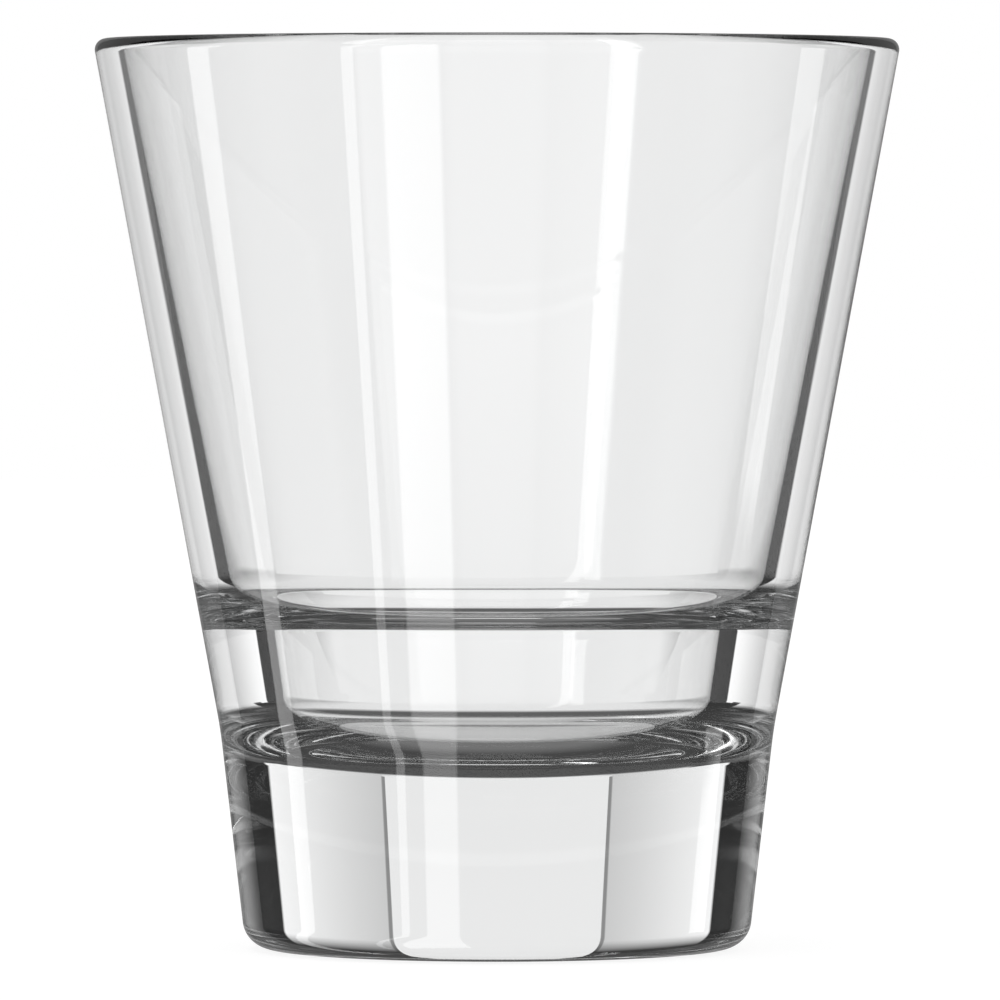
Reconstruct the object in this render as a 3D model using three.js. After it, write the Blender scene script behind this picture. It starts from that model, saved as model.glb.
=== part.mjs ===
// Stacking rocks glass: one piece of clear pressed glass, turned about its upright axis.
// A thick solid base carries a small round chamber, a ledge hollowed into a cove widens the
// chamber into the bowl, and the bowl's wall thins as it flares up to a rounded rim.
// Millimetres, +Z up, origin at the middle of the underside.
import * as THREE from 'three';

// Outside
const HEIGHT = 109.7;
const RIM_DIAMETER = 97.5; // where the flared wall's line meets the rim plane
const BREAK_HEIGHT = 26.4; // where the steep lower wall turns into the flare
const BREAK_DIAMETER = 66.8;
const BREAK_BLEND = 60; // radius that eases one slope into the other
const FOOT_DIAMETER = 60.7; // where the lower wall's line meets the underside
const HEEL_RADIUS = 3.5;

// Rim and bowl
const RIM_WALL = 3.4; // level thickness of the wall at the rim plane
const RIM_ROUND = 1.35; // radius of the rim's outer and inner edges
const LEDGE_WALL = 4.6; // level thickness where the bowl wall's line meets the ledge

// Ledge, where the heel of a second glass sits
const LEDGE_WIDTH = 4.3; // from the lip to the foot of the bowl's wall
const COVE_HEIGHT = 5.4; // how far up the wall the ledge's hollow reaches
const LEDGE_FLAT = 0.3; // level strip between the cove and the lip's rounding
const LEDGE_LIP_RADIUS = 0.4;

// Chamber and base
const BASE_THICKNESS = 22.05; // solid glass under the middle of the chamber
const CHAMBER_DEPTH = 18.1; // from the middle of the chamber's floor to the ledge
const CHAMBER_DRAFT = 8.1; // degrees that the chamber's wall leans out
const CHAMBER_CORNER = 9; // radius between the chamber's wall and its floor
const FLOOR_RADIUS = 110; // the floor is a shallow dish of this radius

// Fineness
const STEPS_AROUND = 64;
const STEP_ANGLE = 16; // degrees of turn for each step along a rounded edge
const COVE_STEPS = 8;
const FLOOR_STEPS = 4;

const point = (r, z) => new THREE.Vector2(r, z);

// Radius of the outside at a height, before its edges are rounded.
function outsideRadius(z) {
  const foot = point(FOOT_DIAMETER / 2, 0);
  const bend = point(BREAK_DIAMETER / 2, BREAK_HEIGHT);
  const rim = point(RIM_DIAMETER / 2, HEIGHT);
  const [low, high] = z < BREAK_HEIGHT ? [foot, bend] : [bend, rim];
  return THREE.MathUtils.mapLinear(z, low.y, high.y, low.x, high.x);
}

// Points along an arc about a centre, from one point to another, by the shorter way.
function arc(centre, from, to) {
  const start = from.clone().sub(centre);
  const turn = Math.atan2(start.cross(to.clone().sub(centre)), start.dot(to.clone().sub(centre)));
  const steps = Math.max(2, Math.ceil(THREE.MathUtils.radToDeg(Math.abs(turn)) / STEP_ANGLE));
  const points = [];
  for (let i = 0; i <= steps; i += 1) {
    points.push(from.clone().rotateAround(centre, (turn * i) / steps));
  }
  return points;
}

// Half of the angle that a corner's two straight stretches enclose.
function halfAngle(before, corner, after) {
  const back = before.clone().sub(corner);
  const on = after.clone().sub(corner);
  return back.angleTo(on) / 2;
}

// An arc of the given radius in place of a corner between two straight stretches.
function roundCorner(before, corner, after, radius) {
  const back = before.clone().sub(corner).normalize();
  const on = after.clone().sub(corner).normalize();
  const half = halfAngle(before, corner, after);
  const setback = radius / Math.tan(half);
  const middle = back.clone().add(on).normalize();
  const centre = corner.clone().addScaledVector(middle, radius / Math.sin(half));
  const from = corner.clone().addScaledVector(back, setback);
  const to = corner.clone().addScaledVector(on, setback);
  return arc(centre, from, to);
}

// The chamber below the ledge's lip: its wall's end, the round corner and the dished floor.
function chamberBottom(lip) {
  const draft = THREE.MathUtils.degToRad(CHAMBER_DRAFT);
  const down = point(-Math.sin(draft), -Math.cos(draft));
  const inward = point(-Math.cos(draft), Math.sin(draft));
  const dishCentre = point(0, BASE_THICKNESS + FLOOR_RADIUS);

  // The corner's centre lies a corner radius in from the wall and from the dish.
  const start = lip.clone().addScaledVector(inward, CHAMBER_CORNER);
  const toStart = start.clone().sub(dishCentre);
  const along = toStart.dot(down);
  const reach = FLOOR_RADIUS - CHAMBER_CORNER;
  const travel = -along + Math.sqrt(along * along - toStart.lengthSq() + reach * reach);
  const centre = start.addScaledVector(down, travel);
  const onWall = centre.clone().addScaledVector(inward, -CHAMBER_CORNER);
  const outward = centre.clone().sub(dishCentre).normalize();
  const onFloor = dishCentre.clone().addScaledVector(outward, FLOOR_RADIUS);

  const points = arc(centre, onWall, onFloor);
  for (let i = 1; i <= FLOOR_STEPS; i += 1) {
    const r = onFloor.x * (1 - i / FLOOR_STEPS);
    points.push(point(r, dishCentre.y - Math.sqrt(FLOOR_RADIUS ** 2 - r ** 2)));
  }
  return points;
}

// Half of the section, from the axis at the underside round the outside, over the rim and
// down the inside to the axis again.
function glassOutline() {
  const ledgeZ = BASE_THICKNESS + CHAMBER_DEPTH;
  const foot = point(0, 0);
  const heel = point(FOOT_DIAMETER / 2, 0);
  const bend = point(BREAK_DIAMETER / 2, BREAK_HEIGHT);
  const rimOut = point(RIM_DIAMETER / 2, HEIGHT);
  const rimIn = point(RIM_DIAMETER / 2 - RIM_WALL, HEIGHT);
  const root = point(outsideRadius(ledgeZ) - LEDGE_WALL, ledgeZ);
  const lip = point(root.x - LEDGE_WIDTH, ledgeZ);
  const bottom = chamberBottom(lip);

  // The cove runs from the wall to what the flat strip and the lip's rounding leave of the ledge.
  const lipSetback = LEDGE_LIP_RADIUS / Math.tan(halfAngle(root, lip, bottom[0]));
  const coveReach = LEDGE_WIDTH - LEDGE_FLAT - lipSetback;
  const upWall = rimIn.clone().sub(root).normalize();
  const coveStart = root.clone().addScaledVector(upWall, COVE_HEIGHT);
  const coveEnd = point(root.x - coveReach, ledgeZ);
  const cove = new THREE.QuadraticBezierCurve(coveStart, root, coveEnd);

  return [
    foot,
    ...roundCorner(foot, heel, bend, HEEL_RADIUS),
    ...roundCorner(heel, bend, rimOut, BREAK_BLEND),
    ...roundCorner(bend, rimOut, rimIn, RIM_ROUND),
    ...roundCorner(rimOut, rimIn, root, RIM_ROUND),
    ...cove.getPoints(COVE_STEPS),
    ...roundCorner(root, lip, bottom[0], LEDGE_LIP_RADIUS),
    ...bottom,
  ];
}

// The whole glass is one solid, so it is one mesh.
function makeGlassBody() {
  const geometry = new THREE.LatheGeometry(glassOutline(), STEPS_AROUND);
  geometry.rotateX(Math.PI / 2);
  const material = new THREE.MeshStandardMaterial({
    color: 0xf1f3f3,
    roughness: 0.03,
    metalness: 0,
    transparent: true,
    opacity: 0.35,
  });
  const mesh = new THREE.Mesh(geometry, material);
  mesh.name = 'glass_body';
  return mesh;
}

const rocksGlass = new THREE.Group();
rocksGlass.add(makeGlassBody());

export default rocksGlass;
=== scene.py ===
"""Stacking rocks glass in clear pressed glass, on a pale studio floor."""
import math

import bpy
from mathutils import Matrix, Vector, noise


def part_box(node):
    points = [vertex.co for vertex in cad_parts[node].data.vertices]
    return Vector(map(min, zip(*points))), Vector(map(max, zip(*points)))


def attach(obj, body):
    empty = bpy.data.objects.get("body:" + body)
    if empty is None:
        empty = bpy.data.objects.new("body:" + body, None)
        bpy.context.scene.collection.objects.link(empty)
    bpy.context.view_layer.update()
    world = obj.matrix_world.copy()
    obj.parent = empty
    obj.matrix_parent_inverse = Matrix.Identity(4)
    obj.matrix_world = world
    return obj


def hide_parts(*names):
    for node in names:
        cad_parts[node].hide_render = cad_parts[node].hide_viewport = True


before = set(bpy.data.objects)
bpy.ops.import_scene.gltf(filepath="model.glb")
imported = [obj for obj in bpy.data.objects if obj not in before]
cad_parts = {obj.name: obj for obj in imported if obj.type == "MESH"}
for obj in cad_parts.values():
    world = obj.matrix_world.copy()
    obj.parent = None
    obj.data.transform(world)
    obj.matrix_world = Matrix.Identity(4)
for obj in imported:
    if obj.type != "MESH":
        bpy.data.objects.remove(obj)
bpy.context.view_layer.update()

bl_info = {
    "name": "Rocks Glass",
    "version": (1, 0, 0),
    "blender": (4, 5, 0),
    "location": "View3D > Sidebar > Rocks Glass",
    "description": "Makes a stacking rocks glass of clear pressed glass and its studio",
    "category": "Add Mesh",
}

MM = 0.001
GLASS_LOW, GLASS_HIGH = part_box("glass_body")

# Fineness of the mesh
STEPS_AROUND = 384
ARC_STEP = math.radians(3.0)
BREAK_STEP = math.radians(0.4)
DISH_STEP = math.radians(0.5)
COVE_STEPS = 30
LONG_STRETCH = 1.6 * MM  # a longer stretch gets a support ring at each end
SUPPORT_INSET = 0.2 * MM
AXIS_RADIUS = 1e-7  # a point nearer to the axis than this lies on it

# Soft waves that pressing leaves inside
WAVE_SCALE = 160.0
WAVE_PLACE = (3.0, 7.0)

# Scuffs on the underside
SCUFF_SCALE = 900.0
SCUFF_CLUMPS = (0.45, 0.65)
SCUFF_SHARE = 0.08  # how far up the heel they reach, as a share of its radius

# Floor, in metres from the glass's axis
FLOOR_HALF = 2.5
FLOOR_DROP = 0.2 * MM  # air gap below the underside
FLOOR_GREY = 0.2
FLOOR_GLOW = 0.88

# Floor as the glass shows it: painted shade under the glass and to the sides behind it, and a
# painted shadow just behind it
UNDER_EDGE = (0.033, 0.037)
UNDER_PAINTED_SHADE = 0.47
REAR_EDGE = (0.02, 0.07)
FRONT_LEVEL = 0.97
SIDE_EDGE = (0.05, 0.13)
SIDE_PAINTED_SHADE = (0.93, 0.45)
FAR_EDGE = (0.32, 0.44)
FAR_LEVEL = 0.945
CLOSE_RAY = (0.045, 0.066)
CLOSE_EDGE = (0.033, 0.042)
CLOSE_PAINTED_SHADOW = 0.12

# Floor where the glass mirrors it: painted shade near the glass
PAINTED_SHADE_ACROSS = (-0.1, 0.1)
PAINTED_SHADE_LEVELS = (0.08, 0.04)
PAINTED_SHADE_UNDER_EDGE = (-0.02, -0.01)
PAINTED_SHADE_UNDER_LEVELS = (0.18, 0.06)
PAINTED_SHADE_EDGE = (0.125, 0.2)

# White card behind the glass
CARD_LEVEL = 0.985

# Panels at the back and the front, in degrees from the line that runs front to back
PANEL_START = 17.0
PANEL_LEVELS = (0.7, 1.2)
PANEL_SOFT = 0.5
MIDDLE_EDGE = (13.0, 17.0)
SEAM = (16.6, 17.3)
SEAM_SOFT = 0.15
SEAM_FOOT = (1.5, 3.0)
SEAM_LEVEL = 0.3
STRIP_SOFT = 8.0
STRIP_LEVEL = 0.5
CEILING_EDGE = (10.0, 28.0)
CEILING_LEVEL = 0.05
DARK_LEVEL = 0.03

# Dark foot of the panels, which leans outward as it goes down
FOOT_TOP = (-6.6, -6.0)
FOOT_LEAN = 0.8
FOOT_INNER = (26.3, 27.7)
FOOT_OUTER = (34.0, 35.0)
FOOT_WIDE_TOP = (-8.0, -7.4)
FOOT_LEVEL = 0.04

# Lights that the glass mirrors, by bearing from the front, positive to the left, and by rise
WINDOW_START = (16.4, 17.6)
WINDOW_END = (19.6, 20.8)
WINDOW_LEAN = 0.73
PANE = (26.0, 30.0)
PANE_SOFT = 0.4
STREAK_LEAN = 0.9
LOW_RISE = (-60.0, -3.0)
HIGH_BOX = (38.0, 45.0)
HIGH_RISE = (3.0, 50.0)
RISE_SOFT = 2.0
STRIP_EDGE_SOFT = 0.6
LEFT_STRIP = (80.2, 90.2)
LEFT_RISE = (-60.0, -2.0)
LEFT_RISE_SOFT = 1.0
RIGHT_STRIP = (-109.5, -98.7)
RIGHT_LEAN = 0.1375
RIGHT_RISE = (-28.5, -25.0)
RIGHT_RISE_SOFT = 0.25
BACK_EDGE = (-0.05, 0.05)

# Strengths of what the glass mirrors
LEFT_SHARE = 1.3
SIDE_STRENGTH = 2.0
SOFTBOX_STRENGTH = 2.5
THROUGH_STRENGTH = 3.0  # the high softbox as it shows through the glass
FEW_BOUNCES = 8.5  # it shows only to rays with fewer
BACK_SHARE = 0.25
QUIET_LEVELS = (0.2, 0.02)  # in front and behind
FILL_LEVEL = 0.75  # light on matt surfaces

# Lamp, camera and light paths
LAMP_SIZE = 0.9
LAMP_POWER = 4.0
LAMP_PLACE = (-0.15, -0.25, 1.3)
SENSOR_WIDTH = 36.0
CAMERA_SHIFT = 0.003
CLIP_END = 20.0
BOUNCES = 32


def length(name, default_mm, description):
    """A size in millimetres as a Blender length."""
    return bpy.props.FloatProperty(
        name=name,
        description=description,
        default=default_mm * MM,
        min=0.0,
        unit="LENGTH",
        precision=5,
    )


def level(name, default, description, low=0.0, high=10.0):
    """A plain number, such as a roughness."""
    return bpy.props.FloatProperty(
        name=name, description=description, default=default, min=low, max=high
    )


def angle(name, degrees, description):
    """An angle in degrees as a Blender angle."""
    return bpy.props.FloatProperty(
        name=name,
        description=description,
        default=math.radians(degrees),
        subtype="ANGLE",
    )


def colour(name, default, description):
    """A colour between black and white."""
    return bpy.props.FloatVectorProperty(
        name=name,
        description=description,
        subtype="COLOR",
        default=default,
        min=0.0,
        max=1.0,
    )


class RocksGlassShape(bpy.types.PropertyGroup):
    """Sizes of the glass's section"""

    height: bpy.props.FloatProperty(
        name="Height",
        description="From the underside to the top of the rim",
        default=GLASS_HIGH[2] - GLASS_LOW[2],
        unit="LENGTH",
    )
    rim_diameter: length("Rim diameter", 97.5, "Where the flared wall's line meets the rim plane")
    break_height: length("Break height", 26.4, "Where the steep lower wall turns into the flare")
    break_diameter: length("Break diameter", 66.8, "Outside diameter at the break")
    break_blend: length("Break blend", 60.0, "Radius that eases one slope into the other")
    foot_diameter: length("Foot diameter", 60.7, "Where the lower wall's line meets the underside")
    heel_radius: length("Heel radius", 3.5, "Rounding between the underside and the wall")
    rim_wall: length("Rim wall", 3.4, "Level thickness of the wall at the rim plane")
    rim_round: length("Rim round", 1.35, "Radius of the rim's outer and inner edges")
    ledge_wall: length(
        "Ledge wall", 4.6, "Level thickness where the bowl wall's line meets the ledge"
    )
    ledge_width: length("Ledge width", 4.3, "From the lip to the foot of the bowl's wall")
    cove_height: length("Cove height", 5.4, "How far up the wall the ledge's hollow reaches")
    ledge_flat: length("Ledge flat", 0.3, "Level strip between the cove and the lip's rounding")
    ledge_lip: length("Ledge lip radius", 0.4, "Rounding between the ledge and the chamber")
    base_thickness: length("Base thickness", 22.05, "Solid glass under the middle of the chamber")
    chamber_depth: length("Chamber depth", 18.1, "From the chamber's floor to the ledge")
    chamber_draft: angle("Chamber draft", 8.1, "How far the chamber's wall leans out")
    chamber_corner: length("Chamber corner", 9.0, "Radius between the chamber's wall and floor")
    floor_radius: length("Floor radius", 110.0, "Radius of the chamber's dished floor")
    ripple: length("Ripple", 0.012, "Height of the soft waves that pressing leaves inside")


class RocksGlassLook(bpy.types.PropertyGroup):
    """Finish of the glass"""

    tint: colour("Tint", (0.998, 1.0, 1.0), "Colour of light that has passed through a wall")
    depth_tint: colour("Depth tint", (0.5, 0.51, 0.51), "Colour that thick glass takes on")
    absorption: level(
        "Absorption", 4.0, "How fast thick glass takes on its depth tint", 0.0, 100.0
    )
    ior: level("Index of refraction", 1.52, "Bending of light in soda-lime glass", 1.0, 2.5)
    polish: level("Polish roughness", 0.0, "Roughness of the fire-polished surface", 0.0, 1.0)
    scuff: level("Foot scuff", 0.16, "Roughness where the underside has rubbed", 0.0, 1.0)


class RocksGlassStage(bpy.types.PropertyGroup):
    """Floor, light and camera"""

    camera_distance: length("Camera distance", 1390.0, "From the glass's axis to the camera")
    camera_height: length("Camera height", 88.0, "Height of the camera above the floor")
    view_centre: length("View centre", 54.05, "Height on the axis at the middle of the picture")
    view_width: length("View width", 120.7, "Width of the picture at the glass's axis")
    card_distance: length("Card distance", 330.0, "From the axis back to the white card")
    card_half_width: length("Card half width", 85.0, "From the card's middle to its edge")
    card_height: length("Card height", 600.0, "Height of the card's top edge")
    panel_edge: angle("Panel edge", 46.0, "Where the pale panels end, from the line front to back")
    strip_edge: angle("Strip edge", 67.0, "Where side lights begin, from the line front to back")


class GlassSection:
    """Works out half of the glass's section from its driving sizes."""

    def __init__(self, shape):
        self.s = shape

    def outside_radius(self, z):
        """Radius of the outside at a height, before its edges are rounded."""
        s = self.s
        foot, bend, rim = s.foot_diameter / 2, s.break_diameter / 2, s.rim_diameter / 2
        if z < s.break_height:
            return foot + (bend - foot) * z / s.break_height
        return bend + (rim - bend) * (z - s.break_height) / (s.height - s.break_height)

    def arc(self, centre, start, end, step=ARC_STEP):
        """Points from start to end about a centre, by the shorter way."""
        a, b = start - centre, end - centre
        turn = math.atan2(a.x * b.y - a.y * b.x, a.dot(b))
        steps = max(3, math.ceil(abs(turn) / step))
        return [centre + Matrix.Rotation(turn * i / steps, 2) @ a for i in range(steps + 1)]

    def half_angle(self, before, corner, after):
        """Half of the angle that a corner's two straight stretches enclose."""
        return (before - corner).angle(after - corner) / 2

    def round_corner(self, before, corner, after, radius, step=ARC_STEP):
        """An arc in place of a corner between two straight stretches."""
        back, on = (before - corner).normalized(), (after - corner).normalized()
        half = self.half_angle(before, corner, after)
        centre = corner + (back + on).normalized() * (radius / math.sin(half))
        setback = radius / math.tan(half)
        return self.arc(centre, corner + back * setback, corner + on * setback, step)

    def cove(self, start, corner, end):
        """A hollow that runs smoothly from one straight stretch into the next."""
        shares = [i / COVE_STEPS for i in range(COVE_STEPS + 1)]
        return [start * (1 - t) ** 2 + corner * (2 * t * (1 - t)) + end * t**2 for t in shares]

    def chamber(self, lip):
        """The chamber's round corner, and its dished floor to the axis."""
        s = self.s
        down = Vector((-math.sin(s.chamber_draft), -math.cos(s.chamber_draft)))
        inward = Vector((down.y, -down.x))
        dish = Vector((0.0, s.base_thickness + s.floor_radius))

        # The corner's centre lies a corner radius in from the wall and from the dish.
        start = lip + inward * s.chamber_corner
        to_start = start - dish
        along = to_start.dot(down)
        reach = s.floor_radius - s.chamber_corner
        travel = -along + math.sqrt(along**2 - to_start.length_squared + reach**2)
        centre = start + down * travel
        on_wall = centre - inward * s.chamber_corner
        on_floor = dish + (centre - dish).normalized() * s.floor_radius
        corner = self.arc(centre, on_wall, on_floor)
        return corner, self.arc(dish, on_floor, Vector((0.0, s.base_thickness)), DISH_STEP)

    def points(self):
        """The (radius, height) points from the underside to the dish, and how wavy each is."""
        s = self.s
        ledge_z = s.base_thickness + s.chamber_depth
        foot = Vector((0.0, 0.0))
        heel = Vector((s.foot_diameter / 2, 0.0))
        bend = Vector((s.break_diameter / 2, s.break_height))
        rim_out = Vector((s.rim_diameter / 2, s.height))
        rim_in = Vector((s.rim_diameter / 2 - s.rim_wall, s.height))
        root = Vector((self.outside_radius(ledge_z) - s.ledge_wall, ledge_z))
        lip = Vector((root.x - s.ledge_width, ledge_z))
        corner, floor = self.chamber(lip)

        lip_setback = s.ledge_lip / math.tan(self.half_angle(root, lip, corner[0]))
        cove_reach = s.ledge_width - s.ledge_flat - lip_setback
        cove_start = root + (rim_in - root).normalized() * s.cove_height
        cove_end = root - Vector((cove_reach, 0.0))

        smooth = (
            [foot]
            + self.round_corner(foot, heel, bend, s.heel_radius)
            + self.round_corner(heel, bend, rim_out, s.break_blend, BREAK_STEP)
            + self.round_corner(bend, rim_out, rim_in, s.rim_round)
            + self.round_corner(rim_out, rim_in, root, s.rim_round)
        )
        wavy = (
            self.cove(cove_start, root, cove_end)
            + self.round_corner(root, lip, corner[0], s.ledge_lip)
            + corner
            + floor[1:]
        )
        return self.steadied(smooth + wavy, [0.0] * len(smooth) + [1.0] * len(wavy))

    def steadied(self, points, waves):
        """Adds a point just inside each end of a long stretch, so that it shades straight."""
        steady, steady_waves = points[:1], waves[:1]
        for a, b, wave_a, wave_b in zip(points, points[1:], waves, waves[1:]):
            inset = (b - a).normalized() * SUPPORT_INSET
            if (b - a).length > LONG_STRETCH:
                steady += [a + inset, b - inset]
                steady_waves += [wave_a, wave_b]
            steady.append(b)
            steady_waves.append(wave_b)
        return steady, steady_waves


def lathe_mesh(name, outline, waves, ripple):
    """A closed mesh turned about +Z, with soft waves in its surface where asked."""
    verts, rings = [], []
    for point, wave in zip(outline, waves):
        if point.x < AXIS_RADIUS:
            rings.append([len(verts)])
            verts.append((0.0, 0.0, point.y))
            continue
        ring = []
        for k in range(STEPS_AROUND):
            turn = 2 * math.pi * k / STEPS_AROUND
            across = Vector((math.cos(turn), math.sin(turn), 0.0))
            lift = 0.0
            if wave:
                place = Vector((*WAVE_PLACE, point.y * WAVE_SCALE))
                lift = wave * ripple * noise.noise(across * (point.x * WAVE_SCALE) + place)
            ring.append(len(verts))
            verts.append(tuple(across * (point.x + lift) + Vector((0, 0, point.y + lift))))
        rings.append(ring)
    faces = []
    for low, high in zip(rings, rings[1:]):
        for k in range(STEPS_AROUND):
            on = (k + 1) % STEPS_AROUND
            if len(low) == 1:
                faces.append((low[0], high[on], high[k]))
            elif len(high) == 1:
                faces.append((low[k], low[on], high[0]))
            else:
                faces.append((low[k], low[on], high[on], high[k]))
    mesh = bpy.data.meshes.new(name)
    mesh.from_pydata(verts, [], faces)
    mesh.shade_smooth()
    return mesh


class NodeBoard:
    """Short ways to place and join nodes in one tree."""

    def __init__(self, owner):
        owner.use_nodes = True
        self.tree = owner.node_tree
        self.tree.nodes.clear()

    def add(self, kind, **settings):
        """A new node with the given settings."""
        node = self.tree.nodes.new(kind)
        for key, value in settings.items():
            setattr(node, key, value)
        return node

    def join(self, source, target):
        """Links one socket to another."""
        self.tree.links.new(source, target)

    def feed(self, socket, value):
        """Sets a socket to a plain value, or links it to another socket."""
        if isinstance(value, bpy.types.NodeSocket):
            self.join(value, socket)
        else:
            socket.default_value = value

    def place(self, coordinates):
        """Texture coordinates of the named kind, whole and as x, y and z."""
        whole = self.add("ShaderNodeTexCoord").outputs[coordinates]
        split = self.add("ShaderNodeSeparateXYZ")
        self.join(whole, split.inputs[0])
        return whole, *split.outputs

    def maths(self, operation, *values):
        """One step of arithmetic."""
        node = self.add("ShaderNodeMath", operation=operation)
        for socket, value in zip(node.inputs, values):
            self.feed(socket, value)
        return node.outputs[0]

    def times(self, first, second):
        """The product, which is 1 where both are."""
        return self.maths("MULTIPLY", first, second)

    def plus(self, value, share, other):
        """value times share, added to other."""
        return self.maths("MULTIPLY_ADD", value, share, other)

    def ramp(self, value, edge, levels, shape="LINEAR"):
        """The first level below an edge, the second above it, and the given shape between."""
        node = self.add("ShaderNodeMapRange", interpolation_type=shape)
        for socket, item in zip(node.inputs, (value, *edge, *levels)):
            self.feed(socket, item)
        return node.outputs[0]

    def above(self, value, edge, shape="LINEAR"):
        """0 below an edge and 1 above it."""
        return self.ramp(value, edge, (0.0, 1.0), shape)

    def below(self, value, edge, shape="LINEAR"):
        """1 below an edge and 0 above it."""
        return self.ramp(value, edge, (1.0, 0.0), shape)

    def between(self, value, span, soft):
        """1 within a span with soft edges, 0 elsewhere."""
        low, high = span
        rise = self.above(value, (low - soft, low + soft), "SMOOTHSTEP")
        fall = self.below(value, (high - soft, high + soft), "SMOOTHSTEP")
        return self.times(rise, fall)

    def blend(self, share, first, second):
        """first where share is 0, second where it is 1."""
        node = self.add("ShaderNodeMix", data_type="FLOAT")
        for name, value in zip(("Factor_Float", "A_Float", "B_Float"), (share, first, second)):
            self.feed(next(s for s in node.inputs if s.identifier == name), value)
        return next(s for s in node.outputs if s.identifier == "Result_Float")

    def emission(self, strength):
        """Light of the given strength."""
        node = self.add("ShaderNodeEmission")
        self.feed(node.inputs["Strength"], strength)
        return node.outputs[0]

    def mix_shader(self, share, first, second):
        """first where share is 0, second where it is 1, for shaders."""
        node = self.add("ShaderNodeMixShader")
        for socket, value in zip(node.inputs, (share, first, second)):
            self.feed(socket, value)
        return node.outputs[0]

    def finish(self, kind, **shaders):
        """The tree's output, with its shaders joined."""
        out = self.add(kind)
        for name, shader in shaders.items():
            self.join(shader, out.inputs[name])


def clear_glass(look, shape):
    """Clear soda-lime glass: polished all over, faintly scuffed where it stands."""
    material = bpy.data.materials.new("clear_glass")
    board = NodeBoard(material)
    glass = board.add("ShaderNodeBsdfPrincipled")
    glass.inputs["Base Color"].default_value = (*look.tint, 1.0)
    glass.inputs["IOR"].default_value = look.ior
    glass.inputs["Transmission Weight"].default_value = 1.0
    glass.inputs["Metallic"].default_value = 0.0

    place, _, _, z = board.place("Object")
    fine = board.add("ShaderNodeTexNoise")
    fine.inputs["Scale"].default_value = SCUFF_SCALE
    board.join(place, fine.inputs["Vector"])
    low = board.below(z, (0.0, shape.heel_radius * SCUFF_SHARE))
    rubbed = board.times(low, board.above(fine.outputs["Fac"], SCUFF_CLUMPS))
    board.join(board.plus(rubbed, look.scuff, look.polish), glass.inputs["Roughness"])

    # Long paths inside the thick base lose a little light.
    depth = board.add("ShaderNodeVolumeAbsorption")
    depth.inputs["Color"].default_value = (*look.depth_tint, 1.0)
    depth.inputs["Density"].default_value = look.absorption

    board.finish("ShaderNodeOutputMaterial", Surface=glass.outputs[0], Volume=depth.outputs[0])
    return material


class ROCKSGLASS_OT_body(bpy.types.Operator):
    """Make the glass from its section"""

    bl_idname = "rocks_glass.make_body"
    bl_label = "Make Glass"

    def execute(self, context):
        shape, look = context.scene.rocks_glass_shape, context.scene.rocks_glass_look
        outline, waves = GlassSection(shape).points()
        mesh = lathe_mesh("rocks_glass", outline, waves, shape.ripple)
        mesh.materials.append(clear_glass(look, shape))
        glass = bpy.data.objects.new("rocks_glass", mesh)
        context.scene.collection.objects.link(glass)
        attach(glass, "root")
        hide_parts("glass_body")
        return {"FINISHED"}


def flat_piece(name, corners, material):
    """One flat four-cornered stage piece."""
    mesh = bpy.data.meshes.new(name)
    mesh.from_pydata(corners, [], [(0, 1, 2, 3)])
    mesh.materials.append(material)
    piece = bpy.data.objects.new(name, mesh)
    bpy.context.scene.collection.objects.link(piece)
    return piece


def floor_material():
    """Pale floor, white to the camera with the glass's soft shadow. What the glass shows of it has
    painted shade nearby, and darker painted shade where the glass mirrors it."""
    material = bpy.data.materials.new("pale_floor")
    board = NodeBoard(material)
    place, x, y, _ = board.place("Object")
    reach = board.add("ShaderNodeVectorMath", operation="LENGTH")
    board.join(place, reach.inputs[0])
    far = reach.outputs["Value"]
    under = board.below(far, UNDER_EDGE)
    path = board.add("ShaderNodeLightPath").outputs

    # Through the glass: pale, with painted shade to the sides behind the glass, under it and just
    # behind it
    wide = board.ramp(board.maths("ABSOLUTE", x), SIDE_EDGE, SIDE_PAINTED_SHADE)
    rear = board.blend(board.above(far, FAR_EDGE), wide, FAR_LEVEL)
    seen = board.blend(board.above(y, REAR_EDGE), FRONT_LEVEL, rear)
    # Painted contact shadow: short rays that land just behind the glass see the floor nearly black
    close = board.times(board.below(path["Ray Length"], CLOSE_RAY), board.above(y, CLOSE_EDGE))
    seen = board.blend(under, board.blend(close, seen, CLOSE_PAINTED_SHADOW), UNDER_PAINTED_SHADE)
    through = board.emission(seen)

    # Mirrored inside the glass: painted shade near the glass, which gives way to the studio
    # farther out
    dim = board.ramp(x, PAINTED_SHADE_ACROSS, PAINTED_SHADE_LEVELS)
    mirrored_shade = board.emission(board.blend(under, dim, board.ramp(y, PAINTED_SHADE_UNDER_EDGE, PAINTED_SHADE_UNDER_LEVELS)))
    beyond = board.add("ShaderNodeBsdfTransparent").outputs[0]
    bounced = board.mix_shader(board.above(far, PAINTED_SHADE_EDGE), mirrored_shade, beyond)

    # Seen directly: paper that takes the shadow
    matt = board.add("ShaderNodeBsdfDiffuse")
    matt.inputs["Color"].default_value = (FLOOR_GREY, FLOOR_GREY, FLOOR_GREY, 1.0)
    paper = board.add("ShaderNodeAddShader")
    board.join(matt.outputs[0], paper.inputs[0])
    board.join(board.emission(FLOOR_GLOW), paper.inputs[1])

    mirrored = board.maths("MINIMUM", path["Glossy Depth"], 1.0)
    inside = board.mix_shader(mirrored, through, bounced)
    shader = board.mix_shader(path["Is Transmission Ray"], paper.outputs[0], inside)
    board.finish("ShaderNodeOutputMaterial", Surface=shader)
    return material


def make_floor():
    """The floor, a hair below the underside so that the glass keeps an air gap."""
    signs = ((-1, -1), (1, -1), (1, 1), (-1, 1))
    corners = [(sx * FLOOR_HALF, sy * FLOOR_HALF, -FLOOR_DROP) for sx, sy in signs]
    floor = flat_piece("floor", corners, floor_material())
    floor.visible_glossy = False


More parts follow.
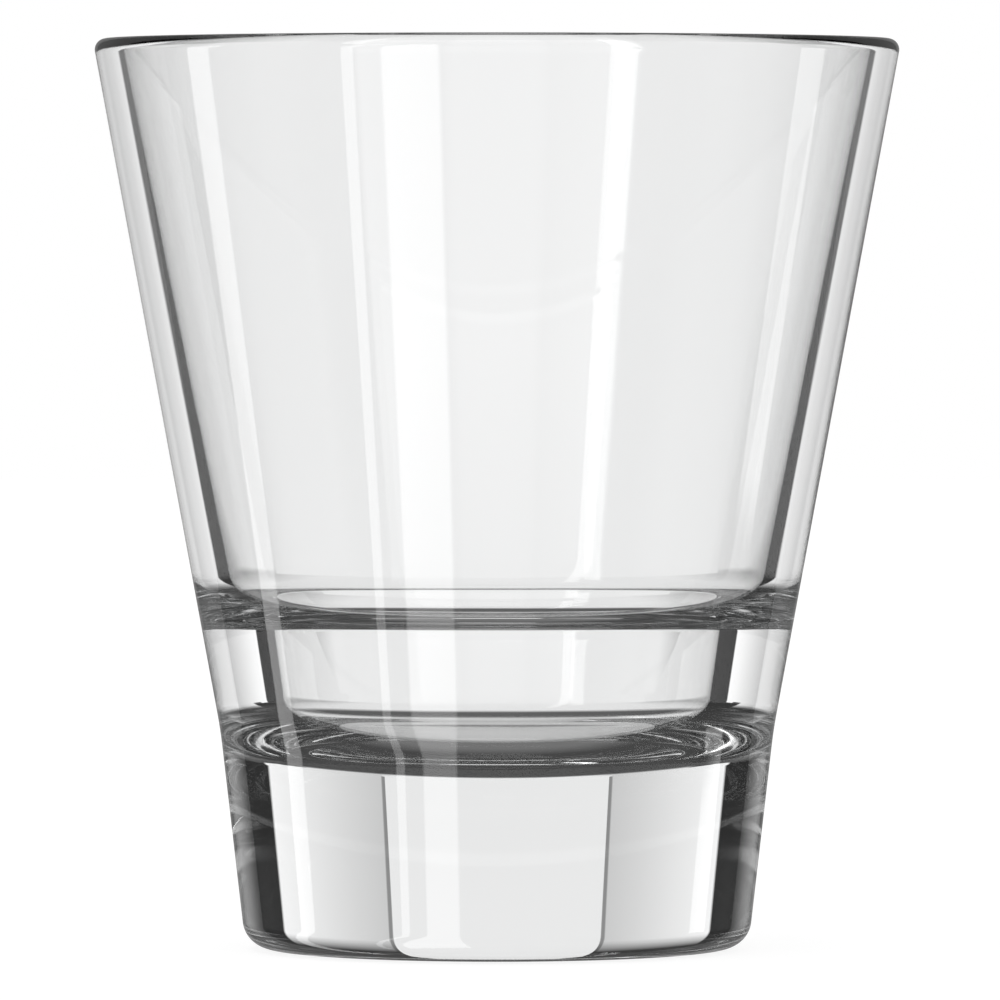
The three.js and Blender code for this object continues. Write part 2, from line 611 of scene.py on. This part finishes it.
def make_card(stage):
    """The white card behind the glass, which only the glass sees."""
    white = bpy.data.materials.new("white_card")
    board = NodeBoard(white)
    board.finish("ShaderNodeOutputMaterial", Surface=board.emission(CARD_LEVEL))
    y, wide, high = stage.card_distance, stage.card_half_width, stage.card_height
    corners = [(-wide, y, 0.0), (wide, y, 0.0), (wide, y, high), (-wide, y, high)]
    card = flat_piece("backdrop_card", corners, white)
    card.visible_camera = False
    card.visible_diffuse = False
    card.visible_glossy = False
    card.visible_shadow = False


class Studio:
    """Brightness of the studio by direction, as the world's nodes."""

    def __init__(self, board, stage):
        self.board = board
        # turn counts from the line front to back, bearing from the front and rise from level.
        _, x, self.y, z = board.place("Generated")
        self.turn = self.heading(board.maths("ABSOLUTE", x), board.maths("ABSOLUTE", self.y))
        self.rise = board.maths("DEGREES", board.maths("ARCSINE", z))
        self.bearing = self.heading(board.times(x, -1.0), board.times(self.y, -1.0))
        self.panel_edge = math.degrees(stage.panel_edge)
        self.strip_edge = math.degrees(stage.strip_edge)

    def heading(self, across, ahead):
        """Degrees from straight ahead."""
        return self.board.maths("DEGREES", self.board.maths("ARCTAN2", across, ahead))

    def panels(self):
        """Pale panels at the back and the front, brighter to their edges, with thin dark seams."""
        board, edge = self.board, self.panel_edge
        graded = board.ramp(self.turn, (PANEL_START, edge), PANEL_LEVELS)
        pale = board.blend(board.below(self.turn, MIDDLE_EDGE), graded, 1.0)
        seam = board.between(self.turn, SEAM, SEAM_SOFT)
        seam = board.times(seam, board.above(self.rise, SEAM_FOOT))
        pale = board.blend(seam, pale, SEAM_LEVEL)
        return board.times(pale, board.below(self.turn, (edge - PANEL_SOFT, edge + PANEL_SOFT)))

    def surroundings(self, panels):
        """The panels, dark gaps, side lights and dark ceiling that show through the glass."""
        board, edge = self.board, self.strip_edge
        beside = board.ramp(self.turn, (edge - STRIP_SOFT, edge + STRIP_SOFT), (0.0, STRIP_LEVEL))
        lit = board.maths("MAXIMUM", board.maths("MAXIMUM", panels, beside), DARK_LEVEL)
        around = board.blend(board.below(self.rise, CEILING_EDGE), CEILING_LEVEL, lit)
        slant = board.plus(self.rise, FOOT_LEAN, self.turn)
        narrow = board.below(slant, FOOT_OUTER)
        until = board.maths("MAXIMUM", narrow, board.below(self.rise, FOOT_WIDE_TOP))
        aside = board.times(board.above(slant, FOOT_INNER), until)
        foot = board.times(board.below(self.rise, FOOT_TOP), aside)
        return board.blend(foot, around, FOOT_LEVEL)

    def low_softbox(self):
        """The window and its pane, which lean as they go down."""
        board = self.board
        end = board.below(board.plus(self.rise, WINDOW_LEAN, self.bearing), WINDOW_END)
        window = board.times(board.above(self.bearing, WINDOW_START), end)
        leaning = board.plus(self.rise, STREAK_LEAN, self.bearing)
        pane = board.between(leaning, PANE, PANE_SOFT)
        both = board.maths("MAXIMUM", window, pane)
        return board.times(both, board.between(self.rise, LOW_RISE, RISE_SOFT))

    def high_softbox(self):
        """A box above the level of the glass."""
        board = self.board
        box = board.between(self.bearing, HIGH_BOX, STRIP_EDGE_SOFT)
        return board.times(box, board.between(self.rise, HIGH_RISE, RISE_SOFT))

    def side_strips(self):
        """A leaning strip on the left and a short one on the right."""
        board = self.board
        leaning = board.plus(self.rise, STREAK_LEAN, self.bearing)
        left = board.between(leaning, LEFT_STRIP, STRIP_EDGE_SOFT)
        left = board.times(left, board.between(self.rise, LEFT_RISE, LEFT_RISE_SOFT))
        ends = board.plus(self.bearing, RIGHT_LEAN, self.rise)
        right = board.between(self.bearing, RIGHT_STRIP, STRIP_EDGE_SOFT)
        right = board.times(right, board.between(ends, RIGHT_RISE, RIGHT_RISE_SOFT))
        return board.plus(left, LEFT_SHARE, right)

    def reflections(self, panels, softboxes):
        """What the glass's polished surface mirrors."""
        board = self.board
        behind = board.above(self.y, BACK_EDGE)
        back = board.times(panels, board.times(behind, BACK_SHARE))
        mirrored = board.maths("MAXIMUM", back, board.blend(behind, *QUIET_LEVELS))
        mirrored = board.plus(self.side_strips(), SIDE_STRENGTH, mirrored)
        return board.plus(softboxes, SOFTBOX_STRENGTH, mirrored)


def make_world(stage):
    """White to the camera; for glass, pale panels, dark gaps beside them and side lights."""
    world = bpy.data.worlds.new("studio")
    bpy.context.scene.world = world
    board = NodeBoard(world)
    path = board.add("ShaderNodeLightPath").outputs
    studio = Studio(board, stage)
    panels, high = studio.panels(), studio.high_softbox()
    softboxes = board.maths("MAXIMUM", studio.low_softbox(), high)
    simple = board.maths("LESS_THAN", path["Ray Depth"], FEW_BOUNCES)
    around = studio.surroundings(panels)
    through = board.plus(board.times(high, simple), THROUGH_STRENGTH, around)

    # Rays through smooth glass count as both glossy and transmitted, so transmitted comes later.
    mirrored = studio.reflections(panels, softboxes)
    seen = board.blend(path["Is Glossy Ray"], FILL_LEVEL, mirrored)
    seen = board.blend(path["Is Transmission Ray"], seen, through)
    seen = board.blend(path["Is Camera Ray"], seen, 1.0)
    light = board.add("ShaderNodeBackground")
    light.inputs["Color"].default_value = (1.0, 1.0, 1.0, 1.0)
    board.join(seen, light.inputs["Strength"])
    board.finish("ShaderNodeOutputWorld", Surface=light.outputs[0])


def aimed(name, data, eye, aim):
    """A lamp or camera at one point that looks at another."""
    item = bpy.data.objects.new(name, data)
    item.location = eye
    item.rotation_euler = (aim - eye).to_track_quat("-Z", "Y").to_euler()
    bpy.context.scene.collection.objects.link(item)
    return item


def make_lamp():
    """One broad lamp overhead, for the floor's soft shadow only."""
    data = bpy.data.lights.new("overhead", "AREA")
    data.shape, data.size, data.energy = "DISK", LAMP_SIZE, LAMP_POWER
    lamp = aimed("overhead", data, Vector(LAMP_PLACE), Vector((0.0, 0.0, 0.0)))
    lamp.visible_glossy = False
    lamp.visible_transmission = False


def make_camera(stage):
    """A long lens at the height of the upper bowl, as the glass is seen."""
    data = bpy.data.cameras.new("camera")
    eye = Vector((0.0, -stage.camera_distance, stage.camera_height))
    aim = Vector((0.0, 0.0, stage.view_centre))
    data.sensor_width = SENSOR_WIDTH
    data.lens = data.sensor_width * (aim - eye).length / stage.view_width
    data.shift_x = CAMERA_SHIFT
    data.clip_end = CLIP_END
    bpy.context.scene.camera = aimed("camera", data, eye, aim)


class ROCKSGLASS_OT_stage(bpy.types.Operator):
    """Make the floor, backdrop, light and camera"""

    bl_idname = "rocks_glass.make_stage"
    bl_label = "Make Studio"

    def execute(self, context):
        stage = context.scene.rocks_glass_stage
        context.scene.view_settings.view_transform = "Standard"
        # Light runs round many times inside the thick base and ledge.
        cycles = context.scene.cycles
        cycles.max_bounces = cycles.glossy_bounces = cycles.transmission_bounces = BOUNCES
        make_floor()
        make_card(stage)
        make_world(stage)
        make_lamp()
        make_camera(stage)
        return {"FINISHED"}


class ROCKSGLASS_PT_panel(bpy.types.Panel):
    """Sizes, finish and studio of the rocks glass"""

    bl_idname = "ROCKSGLASS_PT_panel"
    bl_label = "Rocks Glass"
    bl_space_type = "VIEW_3D"
    bl_region_type = "UI"
    bl_category = "Rocks Glass"

    def draw(self, context):
        scene = context.scene
        for group, operator in (
            (scene.rocks_glass_shape, None),
            (scene.rocks_glass_look, ROCKSGLASS_OT_body),
            (scene.rocks_glass_stage, ROCKSGLASS_OT_stage),
        ):
            column = self.layout.column(align=True)
            for key in group.__annotations__:
                column.prop(group, key)
            if operator:
                self.layout.operator(operator.bl_idname)


CLASSES = (
    RocksGlassShape,
    RocksGlassLook,
    RocksGlassStage,
    ROCKSGLASS_OT_body,
    ROCKSGLASS_OT_stage,
    ROCKSGLASS_PT_panel,
)


def register():
    for cls in CLASSES:
        bpy.utils.register_class(cls)
    bpy.types.Scene.rocks_glass_shape = bpy.props.PointerProperty(type=RocksGlassShape)
    bpy.types.Scene.rocks_glass_look = bpy.props.PointerProperty(type=RocksGlassLook)
    bpy.types.Scene.rocks_glass_stage = bpy.props.PointerProperty(type=RocksGlassStage)


def unregister():
    del bpy.types.Scene.rocks_glass_stage
    del bpy.types.Scene.rocks_glass_look
    del bpy.types.Scene.rocks_glass_shape
    for cls in reversed(CLASSES):
        bpy.utils.unregister_class(cls)


def main():
    register()
    bpy.ops.rocks_glass.make_body()
    bpy.ops.rocks_glass.make_stage()


if __name__ == "__main__":
    main()
